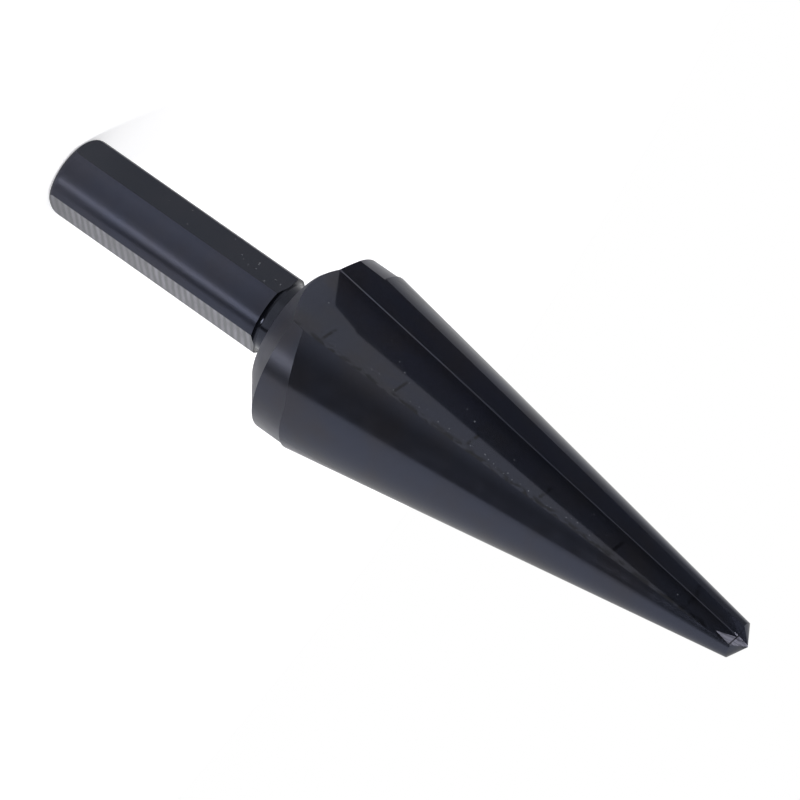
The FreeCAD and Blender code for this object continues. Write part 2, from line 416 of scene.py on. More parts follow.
@dataclass(frozen=True)
class MilledSteel(BlackSteel):
    """Blackened steel with the cross marks of a slitting cutter, deepest on one of the flats.

    The marks are a tooth's feed apart, which is a real 0.58 mm. On one flat their ridges are
    painted pale: a painted highlight where light would graze them.
    """

    pitch: float = 0.58
    wander: float = 0.4
    wander_length: float = 1.5
    wander_width: float = 3.0
    # Painted highlight: the flat that faces this way, past this reach, gets pale ridges.
    highlight_flat: float = 11.2
    highlight_reach: tuple[float, float] = (2.5, 2.7)
    ridge_highlight_colour: str = "#5c5c67"
    ridge_length: float = 0.8
    ridge_width: float = 2.0
    ridge_levels: tuple[float, float] = (0.4, 1.0)

    def marks(self, tree: NodeTree, place: NodeSocket) -> NodeSocket:
        """Return the height of the cutter's marks, one for each tooth, a little uneven.

        Args:
            tree: The material's tree.
            place: The place, in millimetres.

        Returns:
            The socket of the height.
        """
        height = distance_along(tree, place, UP)
        wander = grain(tree, place, UP, self.wander_length, self.wander_width)
        wander = calculate(tree, "MULTIPLY", wander, self.wander)
        phase = calculate(tree, "ADD", height, wander)
        wave = calculate(tree, "SINE", calculate(tree, "MULTIPLY", phase, math.tau / self.pitch))
        return ramp(tree, wave, (-1.0, 1.0))

    def tint(self, tree: NodeTree, place: NodeSocket, marks: NodeSocket) -> NodeSocket:
        """Return the oxide's colour with a painted highlight on the ridges of the marks on one
        flat.

        Args:
            tree: The material's tree.
            place: The place, in millimetres.
            marks: The height of the cutter's marks.

        Returns:
            The socket of the colour.
        """
        oxide = super().tint(tree, place, marks)
        # Painted highlight: the ridges of the marks on one flat are painted pale.
        side = distance_along(tree, place, direction(self.highlight_flat))
        ridges = calculate(tree, "MULTIPLY", marks, ramp(tree, side, self.highlight_reach))
        uneven = grain(tree, place, UP, self.ridge_length, self.ridge_width)
        uneven = ramp(tree, uneven, self.uneven_share, self.ridge_levels)
        share = calculate(tree, "MULTIPLY", ridges, uneven)
        return blend(tree, share, oxide, self.ridge_highlight_colour)


@dataclass(frozen=True)
class GroundFlute(BlackSteel):
    """Blackened steel ground along the flute, with faint cross lines at each step of diameter.

    The cross lines and a dark band with a wavy edge lie near the heel, the edge of the wall that
    falls back towards the axis with height. They are a painted reflection: there the heel wall
    mirrors the dark cutting wall and its marks. The lines are 5.88 mm apart, 2 mm of the cone's
    diameter. Reaches are measured outwards from that edge, so those on the wall are below nought.
    A share is the noise's range over which a cloud, the band's edge or a break in a line comes in.
    """

    mark_way: tuple[float, float, float] = (0.09716, 0.0904, 0.99116)
    mark_length: float = 9.0
    mark_width: float = 0.15
    wall: float = 339.5
    blue: str = "#383b48"
    cloud_length: float = 5.0
    cloud_width: float = 2.2
    cloud_share: tuple[float, float] = (0.45, 0.65)
    heel_reach: float = 5.1
    heel_fall: float = 0.1155
    # Painted reflection: a dark band with a wavy edge along the heel.
    dark_band_reach: tuple[float, float] = (-0.6, -0.1)
    dark_band_length: float = 0.6
    dark_band_width: float = 0.4
    dark_band_share: tuple[float, float] = (0.42, 0.58)
    # Painted reflection: its colour, and its dark cross lines near the heel.
    painted_reflection_colour: str = "#26272d"
    line_from: float = 23.90
    line_step: float = 5.88
    line_half: float = 0.11
    line_soft: float = 0.12
    line_middle: float = -1.3
    line_reach: float = 0.8
    line_end_soft: float = 0.5
    blotch_size: float = 0.5
    blotch_share: tuple[float, float] = (0.25, 0.55)

    def tint(self, tree: NodeTree, place: NodeSocket, marks: NodeSocket) -> NodeSocket:
        """Return the oxide's colour with its blue clouds and the painted reflection near the heel.

        Args:
            tree: The material's tree.
            place: The place, in millimetres.
            marks: The height of the wheel's lines.

        Returns:
            The socket of the colour.
        """
        oxide = super().tint(tree, place, marks)
        clouds = grain(tree, place, UP, self.cloud_length, self.cloud_width)
        oxide = blend(tree, ramp(tree, clouds, self.cloud_share), oxide, self.blue)
        along = calculate(tree, "SUBTRACT", distance_along(tree, place, UP), self.line_from)
        drop = calculate(tree, "MULTIPLY", along, self.heel_fall)
        side = calculate(tree, "ADD", distance_along(tree, place, direction(self.wall)), drop)
        inside = calculate(tree, "SUBTRACT", side, self.heel_reach)
        # Painted reflection of the dark cutting wall: a dark band with a wavy edge along the heel.
        band_edge_noise = grain(tree, place, UP, self.dark_band_length, self.dark_band_width)
        seam = ramp(tree, inside, self.dark_band_reach)
        seam = calculate(tree, "MULTIPLY", ramp(tree, band_edge_noise, self.dark_band_share), seam)
        oxide = blend(tree, seam, oxide, self.painted_reflection_colour)
        # Painted reflection: dark cross lines every 5.88 mm near the heel, broken into blotches.
        step = calculate(tree, "WRAP", along, self.line_step / 2, -self.line_step / 2)
        line = band(tree, step, 0.0, self.line_half, self.line_soft)
        breakup = grain(tree, place, UP, self.blotch_size, self.blotch_size)
        line = calculate(tree, "MULTIPLY", line, ramp(tree, breakup, self.blotch_share))
        reach = band(tree, inside, self.line_middle, self.line_reach, self.line_end_soft)
        return blend(tree, calculate(tree, "MULTIPLY", line, reach), oxide, self.painted_reflection_colour)


@dataclass(frozen=True)
class GroundGash(BlackSteel):
    """The point's gash, ground bright after blackening, with the wheel's lines left on it.

    The bare steel is matt and pale next to the oxide. The wheel's grit is too fine to show, so
    its lines are drawn 0.1 mm wide.
    """

    mark_way: tuple[float, float, float] = (0.354916, -0.202809, -0.912639)
    mark_length: float = 1.6
    mark_width: float = 0.1
    pale: str = "#9a9aaa"
    pale_share: tuple[float, float] = (0.35, 0.65)
    seam: str = "#2c2c34"
    seam_height: float = 57.12
    seam_half: float = 0.045
    seam_soft: float = 0.04

    def tint(self, tree: NodeTree, place: NodeSocket, marks: NodeSocket) -> NodeSocket:
        """Return the bare steel's colour with the dark seam where two passes of the wheel meet.

        Args:
            tree: The material's tree.
            place: The place, in millimetres.
            marks: The height of the wheel's lines.

        Returns:
            The socket of the colour.
        """
        steel = blend(tree, ramp(tree, marks, self.pale_share), self.colour, self.pale)
        height = distance_along(tree, place, UP)
        seam = band(tree, height, self.seam_height, self.seam_half, self.seam_soft)
        return blend(tree, seam, steel, self.seam)


FINISHES = {
    Surface.TURNED: TurnedSteel(
        "black_oxide_turned_steel",
        colour="#363946",
        stain="#393a44",
        roughness=0.36,
        uneven=0.03,
        stretch=1.0,
        relief=0.003,
    ),
    # Painted shade: the neck's darker colour stands for shade in its recess; its smoothness is
    # real.
    Surface.NECK: TurnedSteel(
        "black_oxide_turned_neck_painted_shade",
        colour="#2b2e38",
        stain="#24262d",
        roughness=0.18,
        uneven=0.05,
        stretch=0.8,
        relief=0.001,
    ),
    Surface.MILLED: MilledSteel(
        "black_oxide_milled_steel", colour="#1b1f29", stain="#1f212a", roughness=0.16
    ),
    Surface.BACK: TurnedSteel(
        "black_oxide_ground_back", roughness=0.32, uneven=0.03, stretch=1.0, relief=0.0008
    ),
    Surface.CONE: BlackSteel("black_oxide_ground_cone", roughness=0.12, edge=0.75),
    Surface.FLUTE: GroundFlute(
        "black_oxide_ground_flute", metallic=0.68, roughness=0.08, uneven=0.03
    ),
    Surface.GASH: GroundGash(
        "bright_ground_gash", colour="#60606c", metallic=0.35, roughness=0.45, relief=0.0006
    ),
}


@dataclass
class Shank:
    """The round shank with its neck. Stations are heights above the end of the shank."""

    radius: float = 3.0
    length: float = 18.25
    end_round: float = 0.6
    neck_radius: float = 2.65
    neck_length: float = 1.6
    neck_round: float = 0.3
    round_steps: int = 8

    @property
    def neck_end(self) -> float:
        """The height at which the neck meets the head."""
        return self.length + self.neck_length

    def quarter(
        self, station: float, radius: float, size: float, turns: tuple[float, float]
    ) -> list[tuple[float, float]]:
        """Return the profile of a round, which is a quarter of a circle.

        Args:
            station: The height of its centre.
            radius: The distance of its centre from the axis.
            size: Its radius.
            turns: Where it starts and ends, in degrees from the way down to the way out.

        Returns:
            Rows of station and radius.
        """
        rows = []
        for step in range(self.round_steps + 1):
            turn = math.radians(turns[0] + (turns[1] - turns[0]) * step / self.round_steps)
            rows.append((station - size * math.cos(turn), radius + size * math.sin(turn)))
        return rows

    def outline(self) -> list[tuple[float, float, Surface]]:
        """Return the profile from the end of the shank to the back of the head.

        Returns:
            Rows of station, radius and the surface that begins there.
        """
        end = self.quarter(
            self.end_round, self.radius - self.end_round, self.end_round, (0.0, 90.0)
        )
        rows = [(station, radius, Surface.TURNED) for station, radius in end]
        middle = self.neck_radius + self.neck_round
        low, high = self.length + self.neck_round, self.neck_end - self.neck_round
        neck = [
            (self.length, self.radius),
            *self.quarter(low, middle, self.neck_round, (0.0, -90.0)),
            *self.quarter(high, middle, self.neck_round, (-90.0, -180.0)),
        ]
        rows += [(station, radius, Surface.NECK) for station, radius in neck]
        rows[-1] = (*rows[-1][:2], Surface.BACK)
        return rows

    def normal(self, place: Vector, station: float) -> Vector:
        """Return the turned surface's normal at a point.

        Args:
            place: The point, in millimetres.
            station: The height of the middle of its face, which tells which surface it is.

        Returns:
            The normal, out of the metal.
        """
        outward = Vector((place.x, place.y, 0)).normalized()
        if station < self.end_round:
            centre = outward * (self.radius - self.end_round) + Vector((0, 0, self.end_round))
            return (place - centre).normalized()
        ring = outward * (self.neck_radius + self.neck_round)
        if self.length < station < self.length + self.neck_round:
            return (ring + Vector((0, 0, self.length + self.neck_round)) - place).normalized()
        if self.neck_end - self.neck_round < station < self.neck_end:
            return (ring + Vector((0, 0, self.neck_end - self.neck_round)) - place).normalized()
        return outward


@dataclass
class Head:
    """The head: a ring at its back, a bevel, a round land, the relieved cone and the point.

    The cone is relieved from one direction backwards over a sweep, and the relief then runs out.
    Closeness is how near a height is found where two surfaces meet, in millimetres as the rest.
    The last three fields are rises of a flat normal, which tell the head's surfaces apart.
    """

    back: float = 19.85
    back_ring_radius: float = 4.55
    bevel_end: float = 21.75
    bevel_offset: float = 0.1
    land_radius: float = 6.9
    cone_start: float = 24.10
    big_radius: float = 7.0
    small_radius: float = 1.375
    cone_length: float = 33.1
    point_angle: float = 118.0
    relief_from: float = 31.5
    relief_sweep: float = 125.0
    relief: float = 0.33
    relief_runout: float = 4.0
    closeness: float = 1e-8
    bevel_below: float = -0.5
    land_below: float = 0.1
    point_above: float = 0.4

    @property
    def cone_fall(self) -> float:
        """How much the cone's radius falls for each millimetre of height."""
        return (self.big_radius - self.small_radius) / self.cone_length

    @property
    def point_slope(self) -> float:
        """How much the point's radius grows for each millimetre below the tip."""
        return math.tan(math.radians(self.point_angle / 2))

    @property
    def bevel_slope(self) -> float:
        """How much the bevel's radius grows for each millimetre of height."""
        return (self.land_radius - self.back_ring_radius) / (self.bevel_end - self.back)

    @property
    def tip(self) -> float:
        """The height of the very tip."""
        return self.cone_start + self.cone_length + self.small_radius / self.point_slope

    def cone_radius(self, station: float, turn: float) -> float:
        """Return the relieved cone's radius at a height and a direction.

        Args:
            station: The height.
            turn: The direction round the axis.

        Returns:
            The distance from the drill's axis.
        """
        full = self.big_radius - self.cone_fall * (station - self.cone_start)
        apex = self.big_radius / self.cone_fall
        lean = self.relief * (1 - (station - self.cone_start) / apex)
        behind = (self.relief_from - turn) % 360
        if behind > self.relief_sweep + self.relief_runout:
            return full
        fade = 1.0
        if behind > self.relief_sweep:
            fade = 1 - (behind - self.relief_sweep) / self.relief_runout
        swing = math.radians(behind)
        across = (full - lean) * math.sin(swing)
        forward = lean + (full - lean) * math.cos(swing)
        return full + (math.hypot(across, forward) - full) * fade

    def point_radius(self, station: float) -> float:
        """Return the point's radius at a height."""
        return (self.tip - station) * self.point_slope

    def crossing(self, low: float, high: float, gap: Callable[[float], float]) -> float:
        """Find the height between two others at which a gap changes its sign.

        Args:
            low: A height where the gap is above nought.
            high: A height where it is below nought.
            gap: The gap at a height.

        Returns:
            The height where the gap closes, or one of the ends where it doesn't.
        """
        if gap(low) <= 0:
            return low
        if gap(high) >= 0:
            return high
        while high - low > self.closeness:
            middle = (low + high) / 2
            low, high = (middle, high) if gap(middle) > 0 else (low, middle)
        return (low + high) / 2

    def normal(self, place: Vector, flat: Vector) -> Vector:
        """Return the head's own normal at a point.

        Args:
            place: The point, in millimetres.
            flat: The flat normal of its face, whose slope tells which surface it is.

        Returns:
            The normal, out of the metal.
        """
        outward = Vector((place.x, place.y, 0)).normalized()
        if flat.z < self.bevel_below:
            spoke = Vector((place.x - self.bevel_offset, place.y, 0)).normalized()
            return (spoke - self.bevel_slope * UP).normalized()
        if flat.z < self.land_below:
            return outward
        if flat.z > self.point_above:
            return (outward + self.point_slope * UP).normalized()
        turn = math.degrees(math.atan2(place.y, place.x))
        radius = self.cone_radius(place.z, turn)
        step = 0.05
        swing = self.cone_radius(place.z, turn + step) - self.cone_radius(place.z, turn - step)
        swing /= radius * math.radians(2 * step)
        sideways = UP.cross(outward)
        return (outward - sideways * swing + self.cone_fall * UP).normalized()

    def outline(self, turn: float) -> list[tuple[float, float, Surface]]:
        """Return the profile from the back ring to the point in one direction.

        Args:
            turn: The direction round the axis.

        Returns:
            Rows of station, radius and the surface that begins there.
        """
        cosine, sine = math.cos(math.radians(turn)), math.sin(math.radians(turn))
        ring = self.bevel_offset * cosine + math.sqrt(
            self.back_ring_radius**2 - (self.bevel_offset * sine) ** 2
        )
        edge = math.hypot(self.land_radius * cosine - self.bevel_offset, self.land_radius * sine)
        land_back = self.back + (edge - self.back_ring_radius) / self.bevel_slope
        land_end = self.crossing(
            land_back, self.cone_start, lambda z: self.cone_radius(z, turn) - self.land_radius
        )
        start_radius = self.cone_radius(land_end, turn)
        cone_end = self.crossing(
            self.cone_start,
            self.tip,
            lambda z: self.point_radius(z) - self.cone_radius(z, turn),
        )
        return [
            (self.back, ring, Surface.BACK),
            (land_back, self.land_radius, Surface.BACK),
            (land_end, self.land_radius, Surface.CONE),
            (land_end, max(start_radius, self.land_radius), Surface.CONE),
            (cone_end, self.cone_radius(cone_end, turn), Surface.CONE),
        ]


@dataclass
class Vee:
    """A straight V groove with a rounded root, as a grinding wheel leaves it.

    Its sharp root line runs through two known points, and the groove reaches from one height to
    another along that line. The walls are the directions in which its sides leave the root.
    """

    lower: tuple[float, float, float]
    upper: tuple[float, float, float]
    walls: tuple[float, float]
    root_radius: float
    begins: float
    ends: float
    reach: float = 15.0
    round_steps: int = 6

    def root(self, station: float) -> Vector:
        """Return the root line's point at a height."""
        lower, upper = Vector(self.lower), Vector(self.upper)
        return lower.lerp(upper, (station - lower.z) / (upper.z - lower.z))

    def centre(self) -> Vector:
        """Return the middle of the root's round, as seen from the sharp root.

        Returns:
            The level vector from the sharp root to that middle.
        """
        half = (self.walls[1] - self.walls[0]) / 2
        away = self.root_radius / math.sin(math.radians(half))
        return direction(self.walls[0] + half) * away

    def section(self) -> list[Vector]:
        """Return the groove's outline at one height.

        Returns:
            Its points as seen from the sharp root, first along the round and then the walls.
        """
        low, high = self.walls[1] + 90, self.walls[0] + 270
        points = []
        for step in range(self.round_steps + 1):
            turn = low + (high - low) * step / self.round_steps
            points.append(self.centre() + direction(turn) * self.root_radius)
        return [*points, *(direction(wall) * self.reach for wall in self.walls)]

    def build(self, name: str, finish: Material, first_wall: Material) -> Object:
        """Build the cutter that takes the groove's metal away.

        Args:
            name: The cutter's name.
            finish: The material that the root and the second wall get.
            first_wall: The material that the first wall gets.

        Returns:
            The cutter's object.
        """
        mesh = bmesh.new()
        rings = []
        for station in (self.begins, self.ends):
            root = self.root(station)
            rings.append([mesh.verts.new((root + point) * MM) for point in self.section()])
        count = len(rings[0])
        for index in range(count):
            after = (index + 1) % count
            low, high = rings
            face = mesh.faces.new((low[index], low[after], high[after], high[index]))
            face.material_index = int(index == self.round_steps)
        mesh.faces.new(list(reversed(rings[0])))
        mesh.faces.new(rings[1])
        return finish_mesh(mesh, name, [finish, first_wall])

    def is_wall(self, flat: Vector) -> bool:
        """Tell whether a face lies on one of the walls.

        Args:
            flat: The face's flat normal.

        Returns:
            Whether it does.
        """
        along = Vector(self.upper) - Vector(self.lower)
        sides = (along.cross(direction(wall)).normalized() for wall in self.walls)
        return any(abs(side.dot(flat)) > PARALLEL for side in sides)

    def root_normal(self, place: Vector) -> Vector:
        """Return the normal of the groove's round root at a point.

        Args:
            place: The point, in millimetres.

        Returns:
            The normal, out of the metal.
        """
        along = Vector(self.upper) - Vector(self.lower)
        spoke = self.root(place.z) + self.centre() - place
        spoke.z = 0
        normal = along.cross(Vector((-spoke.y, spoke.x, 0))).normalized()
        return normal if normal.dot(spoke) > 0 else -normal


def finish_mesh(mesh: bmesh.types.BMesh, name: str, finishes: list[Material]) -> Object:
    """Turn a mesh in the making into an object with outward faces.

    Args:
        mesh: The mesh, which is freed.
        name: The object's name.
        finishes: Its materials, in order.

    Returns:
        The object, linked to the scene.
    """
    bmesh.ops.recalc_face_normals(mesh, faces=mesh.faces)
    data = bpy.data.meshes.new(name)
    mesh.to_mesh(data)
    mesh.free()
    for finish in finishes:
        data.materials.append(finish)
    piece = bpy.data.objects.new(name, data)
    bpy.context.scene.collection.objects.link(piece)
    return piece


def settle(piece: Object) -> None:
    """Turn a piece's modifiers into plain mesh and take them off.

    Args:
        piece: The piece.
    """
    bpy.context.view_layer.update()
    graph = bpy.context.evaluated_depsgraph_get()
    data = bpy.data.meshes.new_from_object(piece.evaluated_get(graph))
    piece.modifiers.clear()
    old = piece.data
    piece.data = data
    bpy.data.meshes.remove(old)


def grow(piece: Object, tree: NodeTree, values: dict[str, float | int]) -> None:
    """Run a Geometry Nodes tree on a piece and keep the result as plain mesh.

    Args:
        piece: The piece, whose mesh the result takes the place of.
        tree: The tree.
        values: The tree's inputs by name.
    """
    modifier = piece.modifiers.new("grow", "NODES")
    modifier.node_group = tree
    for item in tree.interface.items_tree:
        if item.in_out == "INPUT" and item.name in values:
            modifier[item.identifier] = values[item.name]
    settle(piece)


@dataclass
class ShankFlats:
    """Flats milled along the shank for the jaws of a chuck, out over the neck.

    The floor is a flat's distance from the axis, and width and depth are those of the cutter.
    """

    count: int = 3
    first: float = 251.2
    floor: float = 2.71
    width: float = 6.0
    depth: float = 1.5
    low: float = -1.0
    high: float = 19.05

    def tree(self, finish: Material) -> NodeTree:
        """Build the tree that sets one milling cut round the axis a number of times.

        Args:
            finish: The material that the cut leaves.

        Returns:
            The tree.
        """
        tree = bpy.data.node_groups.new("flats_round_the_shank", "GeometryNodeTree")
        sizes = dict.fromkeys(("First", "Floor", "Width", "Depth", "Low", "High"), "Float")
        given = declare_inputs(tree, {"Count": "Int", **sizes})
        low, high, depth = given["Low"], given["High"], given["Depth"]
        size = add_node(
            tree,
            "ShaderNodeCombineXYZ",
            links={"X": depth, "Y": given["Width"], "Z": calculate(tree, "SUBTRACT", high, low)},
        )
        block = add_node(tree, "GeometryNodeMeshCube", links={"Size": size.outputs[0]})
        half_depth = calculate(tree, "MULTIPLY", depth, 0.5)
        out = calculate(tree, "ADD", given["Floor"], half_depth)
        up = calculate(tree, "MULTIPLY", calculate(tree, "ADD", low, high), 0.5)
        place = add_node(tree, "ShaderNodeCombineXYZ", links={"X": out, "Z": up})
        moved = add_node(
            tree,
            "GeometryNodeTransform",
            links={"Geometry": block.outputs["Mesh"], "Translation": place.outputs[0]},
        )
        points = add_node(tree, "GeometryNodePoints", links={"Count": given["Count"]})
        index = add_node(tree, "GeometryNodeInputIndex").outputs[0]
        step = calculate(tree, "DIVIDE", math.tau, given["Count"])
        angle = calculate(tree, "MULTIPLY", index, step)
        angle = calculate(tree, "ADD", angle, given["First"])
        turn = add_node(tree, "ShaderNodeCombineXYZ", links={"Z": angle})
        placed = add_node(
            tree,
            "GeometryNodeInstanceOnPoints",
            links={
                "Points": points.outputs[0],
                "Instance": moved.outputs["Geometry"],
                "Rotation": turn.outputs[0],
            },
        )
        make_real(tree, placed.outputs["Instances"], finish)
        return tree

    def build(self, finish: Material) -> Object:
        """Build the cutter of all the flats.

        Args:
            finish: The material that the cut leaves.

        Returns:
            The cutter's object.
        """
        piece = finish_mesh(bmesh.new(), "flat_cutter", [finish])
        values = {
            "Count": self.count,
            "First": math.radians(self.first),
            "Floor": self.floor * MM,
            "Width": self.width * MM,
            "Depth": self.depth * MM,
            "Low": self.low * MM,
            "High": self.high * MM,
        }
        grow(piece, self.tree(finish), values)
        return piece


@dataclass
class Drill:
    """The whole drill: the turned and relieved blank, less its flats, its flute and its gash.

    The bright corners bound the bare end of the flute's heel wall. Each is a distance from the
    flute's root and a height.
    """

    columns: int = 360
    bright_corners: tuple[tuple[float, float], ...] = (
        (0.256, 57.0),
        (1.142, 55.87),
        (1.3, 57.15),
    )
    shank: Shank = field(default_factory=Shank)
    head: Head = field(default_factory=Head)
    flats: ShankFlats = field(default_factory=ShankFlats)
    finishes: dict[Surface, Material] = field(default_factory=dict)
    flute: Vee = field(
        default_factory=lambda: Vee(
            lower=(-3.319, -3.308, 24.10),
            upper=(-0.08, -0.295, 57.20),
            walls=(262.5, 339.5),
            root_radius=0.12,
            begins=18.85,
            ends=59.03,
        )
    )
    gash: Vee = field(
        default_factory=lambda: Vee(
            lower=(-0.089, -0.265, 57.20),
            upper=(-0.057, -0.018, 58.026),
            walls=(254.0, 337.9),
            root_radius=0.04,
            begins=54.5,
            ends=59.03,
        )
    )

    def blank(self) -> Object:
        """Build the turned blank as closed columns of faces round the axis.

        Returns:
            The blank, with every finish in one of its slots.
        """
        order = list(Surface)
        mesh = bmesh.new()
        columns = []
        for index in range(self.columns):
            turn = (index + 0.5) * 360 / self.columns
            column = []
            for station, radius, surface in [*self.shank.outline(), *self.head.outline(turn)]:
                place = direction(turn) * radius + Vector((0, 0, station))
                column.append((mesh.verts.new(place * MM), order.index(surface)))
            columns.append(column)
        tip = mesh.verts.new(Vector((0, 0, self.head.tip)) * MM)
        for here, there in zip(columns, columns[1:] + columns[:1]):
            for low, high, high_there, low_there in zip(here, here[1:], there[1:], there):
                face = mesh.faces.new((low[0], low_there[0], high_there[0], high[0]))
                face.material_index = low[1]
            face = mesh.faces.new((here[-1][0], there[-1][0], tip))
            face.material_index = order.index(Surface.CONE)
        mesh.faces.new([column[0][0] for column in reversed(columns)])
        bmesh.ops.remove_doubles(mesh, verts=mesh.verts, dist=SAME_POINT)
        return finish_mesh(mesh, NODE + "_body", [self.finishes[surface] for surface in order])

    def shade(self, piece: Object) -> None:
        """Give every corner of the drill's mesh the true normal of the surface it lies on.

        Args:
            piece: The cut drill.
        """
        data = piece.data
        kinds = {material.name: surface for surface, material in self.finishes.items()}
        normals = [UP] * len(data.loops)
        for face in data.polygons:
            kind = kinds[data.materials[face.material_index].name]
            flat = face.normal.copy()
            middle = face.center / MM
            for index in face.loop_indices:
                place = data.vertices[data.loops[index].vertex_index].co / MM
                if kind in (Surface.FLUTE, Surface.GASH):
                    groove = self.flute if kind is Surface.FLUTE else self.gash
                    wall = self.flute.is_wall(flat) or self.gash.is_wall(flat)
                    normals[index] = flat if wall else groove.root_normal(place)
                elif kind is Surface.MILLED or abs(flat.z) > PARALLEL:
                    normals[index] = flat
                elif middle.z < self.head.back:
                    normals[index] = self.shank.normal(place, middle.z)
                else:
                    normals[index] = self.head.normal(place, flat)
        data.polygons.foreach_set("use_smooth", [True] * len(data.polygons))
        data.normals_split_custom_set(normals)

    def bare_heel(self, piece: Object) -> None:
        """Split the heel wall near the tip and give its end the gash's bright finish.

        Args:
            piece: The cut drill.
        """
        wall = direction(self.flute.walls[1])
        corners = [self.flute.root(height) + wall * reach for reach, height in self.bright_corners]
        normal = (Vector(self.flute.upper) - Vector(self.flute.lower)).cross(wall).normalized()
        inner = sum(corners, Vector()) / len(corners)
        sides = []
        for here, there in zip(corners, corners[1:]):
            across = normal.cross(there - here).normalized()
            across *= math.copysign(1.0, across.dot(inner - here))
            sides.append((here * MM, across))
        mesh = bmesh.new()
        mesh.from_mesh(piece.data)
        for here, across in sides:
            heel = [face for face in mesh.faces if abs(face.normal.dot(normal)) > PARALLEL]
            edges = {edge for face in heel for edge in face.edges}
            points = {point for face in heel for point in face.verts}
            bmesh.ops.bisect_plane(
                mesh, geom=[*heel, *edges, *points], dist=NO_GAP, plane_co=here, plane_no=across
            )
            mesh.normal_update()
        bright = list(Surface).index(Surface.GASH)
        for face in mesh.faces:
            middle = face.calc_center_median()
            inside = all((middle - here).dot(across) > 0 for here, across in sides)
            if inside and abs(face.normal.dot(normal)) > PARALLEL:
                face.material_index = bright
        mesh.to_mesh(piece.data)
        mesh.free()

    def build(self) -> Object:
        """Turn the blank, cut it and dress it.

        Returns:
            The finished drill.
        """
        self.finishes = {surface: FINISHES[surface].make() for surface in Surface}
        oxide = self.finishes[Surface.FLUTE]
        piece = self.blank()
        cutters = [
            self.flats.build(self.finishes[Surface.MILLED]),
            self.flute.build("flute_cutter", oxide, oxide),
            self.gash.build("gash_cutter", self.finishes[Surface.GASH], oxide),
        ]
        for cutter in cutters:
            cut = piece.modifiers.new("cut", "BOOLEAN")
            cut.operation = "DIFFERENCE"
            cut.solver = "EXACT"
            cut.material_mode = "TRANSFER"
            cut.object = cutter
        settle(piece)
        for cutter in cutters:
            bpy.data.objects.remove(cutter)
        self.bare_heel(piece)
        self.shade(piece)
        log.info("drill: %d faces", len(piece.data.polygons))
        return piece


@dataclass(frozen=True)
class Residue:
    """What lies on the steel: pale matt grinding dust, or a glossy film of oil.

    Its tone changes from one speck to the next, over the grain's size in millimetres.
    """

    name: str
    colour: str
    roughness: float
    dark: str = "#2b2d34"
    grain_size: float = 0.5
    grain_share: tuple[float, float] = (0.35, 0.65)

    def make(self) -> Material:
        """Build the material.

        Returns:
            The material.
        """
        material = bpy.data.materials.new(self.name)
        tree = clear_tree(material)
        tone = grain(tree, place_in_mm(tree), UP, self.grain_size, self.grain_size)
        colour = blend(tree, ramp(tree, tone, self.grain_share), self.dark, self.colour)
        shader = add_node(
            tree,
            "ShaderNodeBsdfPrincipled",
            {"Roughness": self.roughness, "Metallic": 0.0},
            {"Base Color": colour},
        )
        add_node(tree, "ShaderNodeOutputMaterial", links={"Surface": shader.outputs["BSDF"]})
        return material


DUST = Residue("grinding_dust", "#85888f", 0.8)
OIL = Residue("oil_film", "#4a4e58", 0.08)


@dataclass
class Specks:
    """Beads of oil or dust scattered over a four-cornered patch of the drill's surface.

    The corners are in millimetres, the density is in beads for each square millimetre and the
    sizes are the beads' half widths. Flatness is a bead's height over its width.
    """

    name: str
    finish: Residue
    corners: tuple[tuple[float, float, float], ...]
    density: float
    smallest: float
    largest: float
    flatness: float = 0.5
    seed: int = 1

    def tree(self, material: Material) -> NodeTree:
        """Build the tree that scatters the beads and lays them flat on the patch.

        Args:
            material: The finish of the beads.

        Returns:
            The tree.
        """
        tree = bpy.data.node_groups.new(self.name + "_scatter", "GeometryNodeTree")
        sizes = dict.fromkeys(("Density", "Smallest", "Largest", "Flatness"), "Float")
        given = declare_inputs(tree, {"Geometry": "Geometry", **sizes, "Seed": "Int"})
        spread = add_node(
            tree,
            "GeometryNodeDistributePointsOnFaces",
            links={"Mesh": given["Geometry"], "Density": given["Density"], "Seed": given["Seed"]},
        )
        size = add_node(
            tree,
            "FunctionNodeRandomValue",
            links={2: given["Smallest"], 3: given["Largest"], "Seed": given["Seed"]},
            data_type="FLOAT",
        ).outputs[1]
        height = calculate(tree, "MULTIPLY", size, given["Flatness"])
        scale = add_node(tree, "ShaderNodeCombineXYZ", links={"X": size, "Y": size, "Z": height})
        bead = add_node(tree, "GeometryNodeMeshIcoSphere", {"Radius": 1.0, "Subdivisions": 2})
        smooth = add_node(
            tree, "GeometryNodeSetShadeSmooth", links={"Geometry": bead.outputs["Mesh"]}
        )
        placed = add_node(
            tree,
            "GeometryNodeInstanceOnPoints",
            links={
                "Points": spread.outputs["Points"],
                "Instance": smooth.outputs["Geometry"],
                "Rotation": spread.outputs["Rotation"],
                "Scale": scale.outputs[0],
            },
        )
        make_real(tree, placed.outputs["Instances"], material)
        return tree

    def build(self, material: Material) -> Object:
        """Scatter the beads and return their object.

        Args:
            material: The finish of the beads.

        Returns:
            The object of all the beads on this patch.
        """
        mesh = bmesh.new()
        mesh.faces.new([mesh.verts.new(Vector(corner) * MM) for corner in self.corners])
        piece = finish_mesh(mesh, self.name, [material])
        values = {
            "Density": self.density / MM**2,
            "Smallest": self.smallest * MM,
            "Largest": self.largest * MM,
            "Flatness": self.flatness,
            "Seed": self.seed,
        }
        grow(piece, self.tree(material), values)
        log.info("%s: %d faces", self.name, len(piece.data.polygons))
        return piece


def on_heel_wall(flute: Vee, station: float, reach: float) -> tuple[float, float, float]:
    """Return the point of the flute's heel wall at a height and a distance from its root."""
    return tuple(flute.root(station) + direction(flute.walls[1]) * reach)


def on_flat(flats: ShankFlats, station: float, side: float) -> tuple[float, float, float]:
    """Return the point of the first flat at a height and a distance from its middle line."""
    middle = direction(flats.first) * flats.floor + direction(flats.first + 90) * side
    return (middle.x, middle.y, station)


